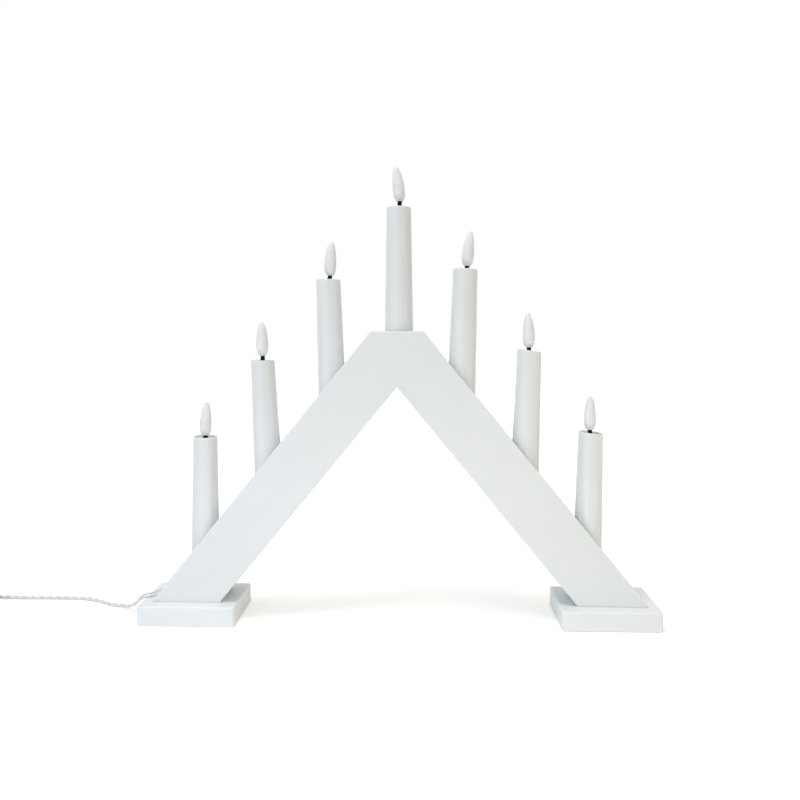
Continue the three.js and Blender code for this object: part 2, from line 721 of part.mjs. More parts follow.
buildFrame();
addPiece(holder, 'left_harness', harnessSolid(-1), wirePvc);
addPiece(holder, 'right_harness', harnessSolid(1), wirePvc);
buildCandles();
buildLead();

export default holder;
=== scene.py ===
import json
from math import cos, pi, radians, sin, tan

import bmesh
import bpy
import numpy as np
from mathutils import Matrix, Vector


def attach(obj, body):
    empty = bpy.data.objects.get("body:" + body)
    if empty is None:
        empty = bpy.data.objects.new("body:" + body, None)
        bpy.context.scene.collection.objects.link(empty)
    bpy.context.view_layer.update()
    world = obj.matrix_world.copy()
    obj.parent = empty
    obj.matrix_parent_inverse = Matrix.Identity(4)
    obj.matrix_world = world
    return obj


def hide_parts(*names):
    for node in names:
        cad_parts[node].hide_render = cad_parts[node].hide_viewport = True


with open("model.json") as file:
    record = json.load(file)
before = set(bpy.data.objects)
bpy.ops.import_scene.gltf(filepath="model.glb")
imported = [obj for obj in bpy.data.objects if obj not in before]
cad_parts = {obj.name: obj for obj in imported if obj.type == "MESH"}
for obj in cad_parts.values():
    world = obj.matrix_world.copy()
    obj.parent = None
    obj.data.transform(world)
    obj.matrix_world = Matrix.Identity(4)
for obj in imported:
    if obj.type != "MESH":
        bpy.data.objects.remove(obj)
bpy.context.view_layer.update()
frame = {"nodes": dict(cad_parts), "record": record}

# Electric candle arch: lacquered arms and feet, candle sleeves with flame lamps, and a lead with its adapter.
# The pieces' sizes are in millimetres and become metres where they go into Blender.
millimetre = 0.001
scene = bpy.context.scene
scene.view_settings.view_transform = "Standard"
nodes = frame["nodes"]


# Camera, from the straight edges in the photograph
view = dict(place=(23.32, -615.5, 253.8), yaw=-1.984, pitch=5.562, roll=0.085, lens=32.02)


def makeCamera():
    # the line of sight turns by the yaw and dips by the pitch, and the picture rolls about it
    yaw, pitch, roll = (radians(view[key]) for key in ("yaw", "pitch", "roll"))
    ahead = np.array([sin(yaw) * cos(pitch), cos(yaw) * cos(pitch), -sin(pitch)])
    level = np.array([cos(yaw), -sin(yaw), 0])
    down = np.cross(ahead, level)
    right = cos(roll) * level + sin(roll) * down
    up = sin(roll) * level - cos(roll) * down
    data = bpy.data.cameras.new("camera")
    data.lens = view["lens"]
    data.sensor_fit = "HORIZONTAL"
    camera = bpy.data.objects.new("camera", data)
    turn = Matrix(np.stack([right, up, -ahead], 1).tolist()).to_4x4()
    camera.matrix_world = Matrix.Translation([v * millimetre for v in view["place"]]) @ turn
    scene.collection.objects.link(camera)
    scene.camera = camera


makeCamera()
print("camera set")


# Surfaces: a sheet is an array of points and the faces between them
def gridSheet(points, wrapColumns=True, wrapRows=False):
    # four-sided faces between neighbouring rows and columns of a grid, counted row by row
    rows, columns = points.shape[:2]
    r = np.arange(rows if wrapRows else rows - 1)[:, None]
    c = np.arange(columns if wrapColumns else columns - 1)[None, :]
    here, beyond = r * columns, (r + 1) % rows * columns
    nextColumn = (c + 1) % columns
    faces = np.stack([here + c, here + nextColumn, beyond + nextColumn, beyond + c], -1)
    return points.reshape(-1, 3), faces.reshape(-1, 4).tolist()


def faceSheet(points):
    # one flat face with all its corners
    return points, [list(range(len(points)))]


def tubeSheets(grid):
    # a grid that closes round, with a flat face at each end
    return [gridSheet(grid), faceSheet(grid[0]), faceSheet(grid[-1])]


def fanSheet(centre, rim):
    # three-sided faces from one point to each stretch of an edge
    k = np.arange(1, len(rim))
    return np.vstack([centre, rim]), np.stack([0 * k, k, k + 1], 1).tolist()


def stripSheet(first, second, closed=False):
    # four-sided faces between two edges that have as many points
    return gridSheet(np.stack([first, second]), closed)


def unit(vectors):
    # each vector divided by its length
    return vectors / np.maximum(np.linalg.norm(vectors, axis=-1, keepdims=True), 1e-12)


def smoothStep(share):
    # three squares less two cubes of the share, level at 0 and at 1
    share = np.clip(share, 0, 1)
    return share * share * (3 - 2 * share)


def arcBetween(centre, start, end, sweep, share):
    # an arc about a centre: its two end spokes, weighted by the sines of the angles still to go and gone
    spokes = np.sin((1 - share) * sweep) * (start - centre) + np.sin(share * sweep) * (end - centre)
    return centre + spokes / np.sin(sweep)


def quarterRound(radius, steps):
    # a quarter circle, as the distances of its points from the two sides of the corner it rounds
    angle = np.linspace(0, pi / 2, steps + 1)
    return radius * (1 - np.sin(angle)), radius * (1 - np.cos(angle))


def easeCorners(corners, steps=5):
    # each corner of a closed outline (x, y, radius) becomes an arc that touches both of its sides
    data = np.array(corners, float)
    spot, radius = data[:, :2], data[:, 2]
    back, ahead = unit(np.roll(spot, 1, 0) - spot), unit(np.roll(spot, -1, 0) - spot)
    half = 0.5 * np.arccos(np.clip((back * ahead).sum(1), -1, 0.999999))
    reach = (radius / np.tan(half))[:, None]
    centre = spot + unit(back + ahead) * (radius / np.sin(half))[:, None]
    start, end = spot + back * reach, spot + ahead * reach
    sweep = np.maximum(pi - 2 * half, 1e-6)[:, None, None]
    share = np.linspace(0, 1, steps + 1)[:, None]
    arc = arcBetween(centre[:, None], start[:, None], end[:, None], sweep, share)
    points = np.where(radius[:, None, None] > 0, arc, spot[:, None]).reshape(-1, 2)
    keep = np.linalg.norm(points - np.roll(points, 1, 0), axis=1) > 1e-7
    return points[keep]


def roundedFrame(width, height, corner, steps=6):
    # a rectangle about the origin with four round corners
    w, h = width / 2, height / 2
    return easeCorners([(w, -h, corner), (w, h, corner), (-w, h, corner), (-w, -h, corner)], steps)


def insetOutline(points, distance, weights=None):
    # each side of a closed outline moves to its right by weight times distance, and neighbours meet again
    ahead = unit(np.roll(points, -1, 0) - points)
    after = np.stack([ahead[:, 1], -ahead[:, 0]], 1)
    before = np.roll(after, 1, 0)
    shiftAfter = distance * (np.ones(len(points)) if weights is None else weights)
    shiftBefore = np.roll(shiftAfter, 1)
    cross = before[:, 0] * after[:, 1] - before[:, 1] * after[:, 0]
    flat = np.abs(cross) < 1e-6
    safe = np.where(flat, 1, cross)
    mitre = np.stack([
        shiftBefore * after[:, 1] - shiftAfter * before[:, 1],
        shiftAfter * before[:, 0] - shiftBefore * after[:, 0],
    ], 1) / safe[:, None]
    return points + np.where(flat[:, None], after * shiftAfter[:, None], mitre)


def carriedGrid(outline, rows):
    # an outline carried along its own axis, moved in by an inset at each height: rows of (inset, height)
    rows = np.asarray(rows, float)
    loops = np.stack([insetOutline(outline, inset) for inset in rows[:, 0]])
    height = np.broadcast_to(rows[:, 1, None, None], loops.shape[:2] + (1,))
    return np.concatenate([loops, height], -1)


def turnedGrid(profile, sides):
    # a profile of (radius, height) carried round the upright axis
    profile = np.asarray(profile, float)
    angle = np.linspace(0, 2 * pi, sides, endpoint=False)
    around = np.stack([np.cos(angle), np.sin(angle)], 1)
    flat = profile[:, None, :1] * around[None]
    height = np.broadcast_to(profile[:, None, 1:], (len(profile), sides, 1))
    return np.concatenate([flat, height], -1)


def smoothPath(points, spacing, cubicSteps=24):
    # cubic pieces through points, with slopes from their neighbours and knots spaced by the square root of
    # the distance, then points at an even spacing along them
    points = np.asarray(points, float)
    gap = np.sqrt(np.linalg.norm(np.diff(points, axis=0), axis=1))
    rate = np.diff(points, axis=0) / gap[:, None]
    slope = np.empty_like(points)
    wide = (gap[1:] + gap[:-1])[:, None]
    slope[1:-1] = (rate[:-1] * gap[1:, None] + rate[1:] * gap[:-1, None]) / wide
    slope[0], slope[-1] = rate[0], rate[-1]
    t = np.arange(len(gap) * cubicSteps + 1) / cubicSteps
    k = np.minimum(t.astype(int), len(gap) - 1)
    u = (t - k)[:, None]
    h = gap[k][:, None]
    curve = ((1 + 2 * u) * (1 - u) ** 2 * points[k] + u * (1 - u) ** 2 * h * slope[k]
             + u ** 2 * (3 - 2 * u) * points[k + 1] + u ** 2 * (u - 1) * h * slope[k + 1])
    run = np.concatenate([[0], np.cumsum(np.linalg.norm(np.diff(curve, axis=0), axis=1))])
    even = np.linspace(0, run[-1], int(run[-1] / spacing) + 1)
    return np.stack([np.interp(even, run, curve[:, axis]) for axis in range(3)], 1), even


def pathFrame(path):
    # the level direction across a path, and the direction square to that and to the path
    along = unit(np.gradient(path, axis=0))
    across = unit(np.cross([0, 0, 1], along))
    return across, np.cross(along, across)


def putPiece(name, sheets, finish, stoodFor, body="frame", sharp=34):
    # joins sheets into one closed mesh, merges their seams and turns the faces outwards
    points, faces, start = [], [], 0
    for sheetPoints, sheetFaces in sheets:
        points.append(sheetPoints)
        faces += [[k + start for k in face] for face in sheetFaces]
        start += len(sheetPoints)
    mesh = bpy.data.meshes.new(name)
    mesh.from_pydata((np.vstack(points) * millimetre).tolist(), [], faces)
    shape = bmesh.new()
    shape.from_mesh(mesh)
    bmesh.ops.remove_doubles(shape, verts=shape.verts, dist=3e-6)
    bmesh.ops.recalc_face_normals(shape, faces=shape.faces)
    shape.to_mesh(mesh)
    shape.free()
    mesh.shade_smooth()
    mesh.set_sharp_from_angle(angle=radians(sharp))
    mesh.materials.append(finish)
    piece = bpy.data.objects.new(name, mesh)
    scene.collection.objects.link(piece)
    even = piece.modifiers.new("even", "WEIGHTED_NORMAL")
    even.weight = 100
    even.keep_sharp = True
    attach(piece, body)
    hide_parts(*stoodFor)
    return piece


# Finishes: a Signal is one socket, and sums and products of Signals add their own nodes
class Signal:
    def __init__(self, tree, socket=None):
        self.tree = tree
        self.socket = socket

    def node(self, kind, settings, sockets, output=0):
        # any other node: its settings first, then the values or links of its sockets
        made = self.tree.nodes.new(kind)
        for key, value in settings.items():
            setattr(made, key, value)
        for key, value in sockets.items():
            if isinstance(value, Signal):
                self.tree.links.new(value.socket, made.inputs[key])
            else:
                made.inputs[key].default_value = value
        return Signal(self.tree, made.outputs[output])

    def maths(self, operation, *values):
        return self.node("ShaderNodeMath", {"operation": operation}, dict(enumerate(values)))

    def __add__(self, other):
        return self.maths("ADD", self, other)

    def __sub__(self, other):
        return self.maths("SUBTRACT", self, other)

    def __mul__(self, other):
        return self.maths("MULTIPLY", self, other)

    def __neg__(self):
        return self * -1

    def __abs__(self):
        return self.maths("ABSOLUTE", self)

    def limit(self, low, high, outLow=0, outHigh=1):
        # from low to high becomes from outLow to outHigh, and stays there beyond
        return self.node("ShaderNodeMapRange", {}, {0: self, 1: low, 2: high, 3: outLow, 4: outHigh})

    def mix(self, first, second):
        # a colour between two colours, by this signal
        return self.node("ShaderNodeMix", {"data_type": "RGBA"}, {0: self, 6: first, 7: second}, 2)

    def tint(self, look, low, high):
        # a finish's shade where this signal is low and its tone where it is high
        return self.limit(low, high).mix(look["shade"], look["tone"])

    def vectors(self, operation, other):
        return self.node("ShaderNodeVectorMath", {"operation": operation}, {0: self, 1: other})

    def split(self):
        # the three parts of a vector
        parts = self.node("ShaderNodeSeparateXYZ", {}, {0: self}).socket.node.outputs
        return [Signal(self.tree, part) for part in parts]

    def noise(self, scale, detail=2, rough=0.5):
        # a cloudy pattern over this vector; a scale of three numbers draws it out along the axes
        where = self
        if isinstance(scale, tuple):
            where, scale = self.vectors("MULTIPLY", scale), 1
        sockets = {"Vector": where, "Scale": scale, "Detail": detail, "Roughness": rough}
        return self.node("ShaderNodeTexNoise", {}, sockets)

    def bump(self, strength, distance):
        # this signal as the height of a relief
        return self.node("ShaderNodeBump", {}, {"Height": self, "Strength": strength, "Distance": distance})


def newFinish(name, fixed):
    # a material with its one shader, and its Object coordinates; fixed holds what is the same all over
    finish = bpy.data.materials.new(name)
    finish.use_nodes = True
    tree = finish.node_tree
    for key, value in fixed.items():
        tree.nodes["Principled BSDF"].inputs[key].default_value = value
    return finish, Signal(tree).node("ShaderNodeTexCoord", {}, {}, "Object")


def feed(finish, **signals):
    # links what changes over the surface to the shader
    names = {"colour": "Base Color", "roughness": "Roughness", "normal": "Normal", "coat": "Coat Weight",
             "glow": "Emission Color"}
    shader = finish.node_tree.nodes["Principled BSDF"]
    for key, signal in signals.items():
        signal.tree.links.new(signal.socket, shader.inputs[names[key]])
    return finish


def rgba(r, g, b):
    return (r, g, b, 1)


# in each look, the roughness is the least one, to which the patterns add; the feet's lift is painted light:
# it makes their lacquer a lighter copy of the arms'
lacquer = dict(
    tone=rgba(0.766, 0.792, 0.801), shade=rgba(0.739, 0.766, 0.777), roughness=0.335, footPaintedLight=1.05,
    grain=0.05, grainLong=9, grainFine=230, peel=0.045)


def makeLacquer(name, slope, lift=1):
    # white satin paint on wood: long faint grain along the member, a fine ripple and a small drift of tone. A
    # lift above 1 gives a lighter copy of the same paint, which is painted light.
    finish, where = newFinish(name, {"Specular IOR Level": 0.42, "Coat Roughness": 0.22})
    x, y, z = where.split()
    along, across = x, z
    if slope:
        along = z * sin(slope) - abs(x) * cos(slope)
        across = z * cos(slope) + abs(x) * sin(slope)
    fine = lacquer["grainFine"]
    run = {0: along * lacquer["grainLong"], 1: across * fine, 2: y * fine}
    grain = where.node("ShaderNodeCombineXYZ", {}, run).noise(1, 4, 0.6)
    peel = where.noise(900)
    drift = where.noise(14, 3)
    speck = where.noise(260).limit(0.68, 0.8)
    # the lift scales the paint's tone and shade up: painted light, not a different paint
    look = {key: rgba(*(lift * v for v in lacquer[key][:3])) for key in ("tone", "shade")}
    tone = drift.limit(0.3, 0.7) * 0.6 + grain.limit(0.35, 0.65) * 0.4
    rough = grain * 0.07 + drift * 0.06 + speck * 0.06 + lacquer["roughness"]
    height = grain * lacquer["grain"] + peel * lacquer["peel"]
    return feed(finish, colour=tone.mix(look["shade"], look["tone"]), roughness=rough,
                normal=height.bump(0.5, 0.0012), coat=drift * 0.12 + 0.04)


candleLook = dict(tone=rgba(0.762, 0.783, 0.79), shade=rgba(0.73, 0.751, 0.759), roughness=0.18)


def makeCandleWhite():
    # glossy plastic sleeve: soft upright flow lines from moulding, tiny pits and a slight depth of light
    finish, where = newFinish("candleWhite", {
        "Specular IOR Level": 0.5, "Subsurface Weight": 0.12, "Subsurface Scale": 0.004,
        "Subsurface Radius": (1, 0.95, 0.9)})
    flow = where.noise((160, 160, 7), 3)
    pits = where.noise(1400)
    drift = where.noise(22)
    return feed(finish, colour=(flow * 0.5 + drift * 0.5).tint(candleLook, 0.38, 0.62),
                roughness=flow * 0.08 + pits * 0.06 + candleLook["roughness"],
                normal=(flow * 0.03 + pits * 0.03).bump(0.4, 0.001))


flameLook = dict(tone=rgba(0.81, 0.82, 0.835), shade=rgba(0.745, 0.757, 0.775), roughness=0.21)


def makeFlameMilk():
    # milky moulded plastic: cloudy depth, faint upright streaks and a smooth gloss
    finish, where = newFinish("flameMilk", {
        "Specular IOR Level": 0.3, "Subsurface Weight": 0.3, "Subsurface Scale": 0.004,
        "Subsurface Radius": (1, 0.97, 0.95), "Coat Roughness": 0.1})
    cloud = where.noise((210, 210, 60), 3, 0.55)
    ripple = where.noise(700)
    return feed(finish, colour=cloud.tint(flameLook, 0.35, 0.65), coat=cloud * 0.1 + 0.03,
                roughness=cloud * 0.1 + flameLook["roughness"],
                normal=(cloud * 0.04 + ripple * 0.02).bump(0.35, 0.001))


wickLook = dict(tone=rgba(0.013, 0.013, 0.014), shade=rgba(0.004, 0.004, 0.0045), roughness=0.5)


def makeWickBlack():
    # matt black stem: fine slanting ribs like a braided wick, with dusty wear on their tops
    finish, where = newFinish("wickBlack", {"Specular IOR Level": 0.14})
    ribs = where.node("ShaderNodeTexWave", {"bands_direction": "DIAGONAL"},
                      {"Vector": where, "Scale": 520, "Distortion": 1.5, "Detail": 1}, 1)
    dust = where.noise(900, 3, 0.6)
    return feed(finish, colour=(ribs * dust).tint(wickLook, 0.25, 0.8),
                roughness=dust * 0.2 + wickLook["roughness"],
                normal=(ribs * 0.6 + dust * 0.3).bump(0.35, 0.0004))


insulationLook = dict(tone=rgba(0.75, 0.765, 0.76), shade=rgba(0.66, 0.675, 0.67), roughness=0.27)


def makeInsulation():
    # pale soft insulation: slightly uneven gloss and a faint dusty tone
    finish, where = newFinish("insulation", {"Specular IOR Level": 0.5})
    dust = where.noise(180, 3, 0.6)
    return feed(finish, colour=dust.tint(insulationLook, 0.3, 0.7),
                roughness=dust * 0.15 + insulationLook["roughness"],
                normal=where.noise(2200).bump(0.12, 0.0003))


strapLook = dict(
    tone=rgba(0.03, 0.03, 0.033), shade=rgba(0.008, 0.008, 0.009), roughness=0.65, uneven=0.2, fine=0.7,
    cloud=300, share=0.7, most=0.7, relief=(0.6, 0.0006))
adapterLook = dict(
    tone=rgba(0.82, 0.825, 0.825), shade=rgba(0.76, 0.765, 0.765), roughness=0.36, uneven=0.16, fine=0.65,
    cloud=60, share=0.3, most=0.65, relief=(0.28, 0.0005))


def makeGrained(name, look, fixed):
    # a strap's short dense pile or a mould's spark-eroded grain, toned together with wider clouds
    finish, where = newFinish(name, fixed)
    grain = where.noise(2600, 3, look["fine"])
    tone = grain * look["share"] + where.noise(look["cloud"]) * (1 - look["share"])
    return feed(finish, colour=tone.tint(look, 0.35, look["most"]), normal=grain.bump(*look["relief"]),
                roughness=grain * look["uneven"] + look["roughness"])


zincLook = dict(tone=rgba(0.62, 0.63, 0.64), shade=rgba(0.46, 0.47, 0.48), roughness=0.22, lines=900)
pinLook = dict(tone=rgba(0.7, 0.69, 0.67), shade=rgba(0.56, 0.55, 0.53), roughness=0.12, lines=1600)


def makeMetal(name, look):
    # plated metal: fine lines drawn along X, small dull patches
    finish, where = newFinish(name, {"Metallic": 1})
    drawn = where.noise((200, look["lines"], look["lines"]), 3, 0.6)
    dull = where.noise(420, 3, 0.6)
    return feed(finish, colour=(drawn * 0.5 + dull * 0.5).tint(look, 0.35, 0.65),
                roughness=drawn * 0.12 + dull * 0.16 + look["roughness"], normal=drawn.bump(0.15, 0.0003))


beechLook = dict(
    tone=rgba(0.66, 0.48, 0.3), shade=rgba(0.5, 0.33, 0.18), fleck=rgba(0.3, 0.18, 0.09), roughness=0.6)


def makeBeech():
    # bare turned beech: straight grain along X with short dark flecks
    finish, where = newFinish("beech", {"Specular IOR Level": 0.3})
    grain = where.noise((12, 520, 520), 4, 0.6)
    fleck = where.noise((160, 1500, 1500)).limit(0.62, 0.72)
    return feed(finish, colour=(fleck * 0.5).mix(grain.tint(beechLook, 0.3, 0.7), beechLook["fleck"]),
                roughness=grain * 0.15 + beechLook["roughness"], normal=grain.bump(0.3, 0.0005))


resinLook = dict(tone=rgba(0.93, 0.93, 0.88), shade=rgba(0.85, 0.85, 0.78), roughness=0.06)


def makeResin():
    # clear cast resin of the diodes, slightly cloudy
    fixed = {"Specular IOR Level": 0.5, "Transmission Weight": 0.6, "IOR": 1.5}
    finish, where = newFinish("diodeResin", fixed)
    cloud = where.noise(800)
    rough = cloud * 0.1 + resinLook["roughness"]
    return feed(finish, colour=cloud.tint(resinLook, 0.35, 0.65), roughness=rough)


slopeAngle = radians(50.6)  # of the arms
armLacquer = makeLacquer("armLacquer", slopeAngle)
# painted light: the feet's lacquer is lighter than the arms' to stand in for the brighter light that falls on
# them
footLacquer = makeLacquer("footLacquer", 0, lacquer["footPaintedLight"])
candleWhite = makeCandleWhite()
flameMilk = makeFlameMilk()
wickBlack = makeWickBlack()
insulation = makeInsulation()
strapBlack = makeGrained("strapBlack", strapLook, {"Specular IOR Level": 0.3, "Sheen Weight": 0.35})
adapterWhite = makeGrained("adapterWhite", adapterLook, {"Specular IOR Level": 0.45})
zincSteel = makeMetal("zincSteel", zincLook)
nickelPin = makeMetal("nickelPin", pinLook)
beech = makeBeech()
diodeResin = makeResin()
print("finishes:", len(bpy.data.materials))


# Places that the arms, candles and lead share
arch = dict(
    outerX=216, footTop=17.3, face=46.8, depth=38, flat=44, edge=1.1, corner=3, edgeSteps=5, cornerSteps=5,
    acrossSteps=8, footSteps=4, seatSteps=11, topSteps=2, underEase=0.35, seat=12.7, rimEase=0.45,
    rimEven=0.65, exitHole=1.8, exitDeep=12, exitRise=4.7, rebate=2.2, rebateHalf=7.7, wireDrop=33.1,
    linkDrop=2.6, runOut=7.2)
pitch = {-1: 57.4, 1: 55.6}  # from candle to candle on each side
middleX = 1.3  # of the candle on the flat

# each candle from the left: side, place from the middle, depth in its seat, lean, how much wick shows,
# lean of the flame, turn of its tip, how far the wick bows to the right, how much of that the flame's tip
# gives back, how much higher the rim is, and how it falls away to the right
candleKeys = "side place depth lean show flameLean tipTurn bow giveBack rimRise rimFall".split()
candleRows = [
    (-1, 3, 26.5, 1.5, 0, 0.8, 0, 0.1, -0.4, 0, 0),
    (-1, 2, 29.5, -1.8, 2.9, -0.5, -90, 0, -0.2, 0.5, 0.055),
    (-1, 1, 30.5, -1.3, 2.7, 1.9, 0, 1.3, 0.6, 0.45, 0.04),
    (0, 0, 13, 0, 3.9, -2.5, 180, 1.1, 1.05, 0, 0.033),
    (1, 1, 24.5, 1.4, 2.3, 4.3, 0, 1.1, 0.7, 0.7, 0.03),
    (1, 2, 27, 1.2, 3.3, 0.5, 180, -0.4, 0.4, 1.9, 0.11),
    (1, 3, 30, 0.2, 2.9, 0.5, -90, -0.9, 0.8, 1.8, 0.1),
]
candles = [dict(zip(candleKeys, row)) for row in candleRows]
middleCandle = candles[3]

tanSlope, cosSlope, sinSlope = tan(slopeAngle), cos(slopeAngle), sin(slopeAngle)
peakZ = arch["footTop"] + arch["outerX"] * tanSlope
flatZ = peakZ - arch["flat"] / 2 * tanSlope
linkZ = flatZ - middleCandle["depth"] - arch["linkDrop"]


def seatOf(candle):
    # the seat's mouth on the arm's outer face or on the flat, its leaning axis, and its foot down that axis
    side, lean = candle["side"], radians(candle["lean"])
    x = side * candle["place"] * pitch[side] if side else middleX
    mouth = np.array([x, 0, peakZ - abs(x) * tanSlope if side else flatZ])
    axis = np.array([sin(lean), 0, cos(lean)])
    return mouth, axis, mouth - candle["depth"] * axis


# the lead comes up to the lowest candle's wires
lowMouth, lowAxis = seatOf(candles[0])[:2]
exitZ = arch["footTop"] + arch["exitRise"]
exitPoint = np.array([-(peakZ - exitZ) / tanSlope, 0, exitZ])
exitLine = unit(exitPoint - lowMouth + arch["wireDrop"] * lowAxis)


# Lead: out of the left arm, over its foot, along the table, then wound up beside its adapter
lead = dict(
    strand=0.95, reach=0.75, sides=12, spacing=1.25, inside=(10, 5, 0), startTurn=0.7, open=0.5, openAt=10,
    openOver=9, shutAt=46, shutOver=18, twist=16, twistAt=34, twistOver=12, coilRadius=23, coilStep=3.5,
    layers=4, turns=15, turnSteps=24, climb=0.5, coilPlace=(-400, 4.5), coilLift=3, straight=3,
    reliefTip=(-434.5, 15, 12.5), plugged=(13, 26))
leadRoute = [
    (-215.9, -2.6, 20.5), (-219.6, -6.2, 19.6), (-224.2, -8.4, 19.2), (-229.2, -7.9, 16.6), (-234.2, -5, 12),
    (-239.6, 0, 7.3), (-245.8, 5, 3.9), (-253, 10, 2.1), (-261, 11.6, 1.7), (-270, 15.2, 1.7),
    (-280, 21, 1.7), (-292, 25.6, 1.7), (-307, 27.6, 1.7), (-325, 27.9, 1.7), (-345, 27.7, 1.7),
    (-364, 27.5, 1.8), (-382, 27.5, 2.3),
]
reliefTip = np.array(lead["reliefTip"])


def coilPoints():
    # the radius shrinks and grows by turns from layer to layer, and the height climbs a step at each reversal
    turns = np.linspace(0, lead["turns"], lead["turns"] * lead["turnSteps"] + 1)
    perLayer = lead["turns"] / lead["layers"]
    layer = np.minimum(np.floor(turns / perLayer), lead["layers"] - 1)
    within = turns - layer * perLayer
    inward = np.where(layer % 2 == 0, within, perLayer - within)
    level = sum(smoothStep((turns - k * perLayer) / lead["climb"] + 0.5) for k in range(1, lead["layers"]))
    radius = lead["coilRadius"] - lead["coilStep"] * inward
    angle = pi / 2 + 2 * pi * turns
    cx, cy = lead["coilPlace"]
    return np.stack([cx + radius * np.cos(angle), cy + radius * np.sin(angle),
                     lead["coilLift"] + lead["coilStep"] * level], 1)


def makeLead():
    # two strands, each a round tube whose centre circles the lead's line once in every twist length. They
    # leave the arm one above the other, a little apart, and the twist sets in past the foot's edge.
    turns = coilPoints()
    forward = np.array([1, 0, 0])
    first, last = turns[0] + lead["straight"] * forward, turns[-1] - lead["straight"] * forward
    share = np.array([0.1, 0.25, 0.4, 0.6, 0.75, 0.9, 1])[:, None]
    rise = np.hstack([share, np.repeat(smoothStep((share - 0.05) / 0.9), 2, 1)])
    tail = last + rise * (reliefTip - last)
    inside = [exitPoint - depth * exitLine for depth in lead["inside"]]
    plugged = [reliefTip - depth * forward for depth in lead["plugged"]]
    path, run = smoothPath(np.vstack([inside, leadRoute, first, turns, last, tail, plugged]), lead["spacing"])
    across, upward = pathFrame(path)
    gap = lead["open"] * smoothStep((run - lead["openAt"]) / lead["openOver"])
    gap = gap * smoothStep((lead["shutAt"] - run) / lead["shutOver"])
    past = np.maximum(run - lead["twistAt"], 0)
    twist = lead["startTurn"] * pi + 2 * pi * past ** 2 / (lead["twist"] * (past + lead["twistOver"]))
    angle = np.linspace(0, 2 * pi, lead["sides"], endpoint=False)[:, None]
    ring = np.cos(angle) * across[:, None] + np.sin(angle) * upward[:, None]
    sheets = []
    for start in (0, pi):
        turn = (twist + start)[:, None]
        centre = path + (lead["reach"] + gap)[:, None] * (np.cos(turn) * across + np.sin(turn) * upward)
        sheets += tubeSheets(centre[:, None] + lead["strand"] * ring)
    cord = putPiece("leadCord", sheets, insulation, ["lead_run", "lead_coil", "lead_tail"])
    return cord, path * millimetre, run[-1] * millimetre


leadCord, leadPath, leadLength = makeLead()
print("lead:", round(leadLength, 3), "m")


# Strap round the coil
strap = dict(inner=8.075, outer=24.8, low=1.2, high=15.3, corner=1.2, thick=0.9, width=5, edge=0.4)


def makeStrap(inner, outer, low, high, corner, thick, width, edge):
    # a flat section with round edges carried round a rounded frame in the coil's own upright plane
    section = roundedFrame(thick, width, edge, 4) + [thick / 2, 0]
    wide, tall = outer - inner, high - low
    loops = np.stack([roundedFrame(wide + 2 * t, tall + 2 * t, corner + t) for t in section[:, 0]])
    cx, cy = lead["coilPlace"]
    x = cx - (inner + outer) / 2 + loops[..., 0]
    z = (low + high) / 2 + loops[..., 1]
    y = cy + np.broadcast_to(section[:, 1:], x.shape)
    sheet = gridSheet(np.stack([x, y, z], -1), True, True)
    return putPiece("leadStrap", [sheet], strapBlack, ["lead_tie"])


leadStrap = makeStrap(**strap)
print("strap done")


# Adapter: boot, shell, plate and pins, along the table from the lead's end
adapter = dict(
    start=16, wide=32, tall=25, long=46, corner=5, edge=2, bootLong=15.7, bootTip=2.5, bootRadius=4.2,
    bootRings=5, ringDeep=0.34, lip=0.35, seam=29, seamWide=0.9, seamDeep=0.4, plateInset=3.5, plateThick=3,
    plateGap=0.15, pinRadius=2, pinLong=19, pinSpread=18.6, pinSleeve=9.5, bootSharp=50)
adapterOutline = roundedFrame(adapter["wide"], adapter["tall"], adapter["corner"], 7)[::-1]
adapterEnd = adapter["start"] + adapter["long"]
sleeveEnd = adapterEnd + adapter["pinSleeve"]


def alongAdapter(grid):
    # a shape turned round its own axis, or carried along it, is laid down with that axis towards -X
    x, y, z = np.moveaxis(grid, -1, 0)
    return reliefTip + np.stack([-z, -x, y], -1)


def makeBoot():
    # a taper from the lead to the shell, with ring grooves that let it bend, and a mouth for the lead
    share = np.linspace(0, 1, 61)
    tip, lip = adapter["bootTip"], adapter["lip"]
    taper = tip + (adapter["bootRadius"] - tip) * share ** 1.2
    groove = adapter["ringDeep"] * np.clip(np.sin(share * adapter["bootRings"] * 2 * pi) * 2.2 + 0.6, 0, 1)
    fade = smoothStep(share / 0.08) * smoothStep((1 - share) / 0.14)
    outer = np.stack([taper - groove * fade, lip + share * (adapter["bootLong"] - lip)], 1)
    mouth = [(0, 2.2), (1.82, 2.2), (1.82, 0.3), (1.95, 0.08), (2.15, 0), (2.36, 0.1)]
    grid = turnedGrid(np.vstack([mouth, outer, (0, adapter["bootLong"])]), 40)
    return putPiece("reliefBoot", [gridSheet(alongAdapter(grid))], adapterWhite, ["strain_relief"],
                    sharp=adapter["bootSharp"])


def makeShell():
    # the outline carried along: a round front edge, the seam's groove, a round back edge and the plate's well
    start, end, inset = adapter["start"], adapterEnd, adapter["plateInset"]
    seam, wide, deep = start + adapter["seam"], adapter["seamWide"] / 2, adapter["seamDeep"]
    away, inward = quarterRound(adapter["edge"], 5)
    front = np.stack([inward, start + away], 1)[::-1]
    groove = [(0, seam - wide), (0.12, seam - wide + 0.15), (deep, seam - 0.2), (deep, seam + 0.2),
              (0.12, seam + wide - 0.15), (0, seam + wide)]
    back = np.stack([inward, end - away], 1)
    well = [(inset - 0.25, end), (inset, end - 0.2), (inset, end - adapter["plateThick"] - 0.3)]
    grid = alongAdapter(carriedGrid(adapterOutline, np.vstack([front, groove, back, well])))
    return putPiece("adapterShell", tubeSheets(grid), adapterWhite, ["adapter_case"])


def pinSheet(profile, side):
    # a profile turned round the axis of one pin
    grid = turnedGrid(profile, 32) + [side * adapter["pinSpread"] / 2, 0, 0]
    return gridSheet(alongAdapter(grid))


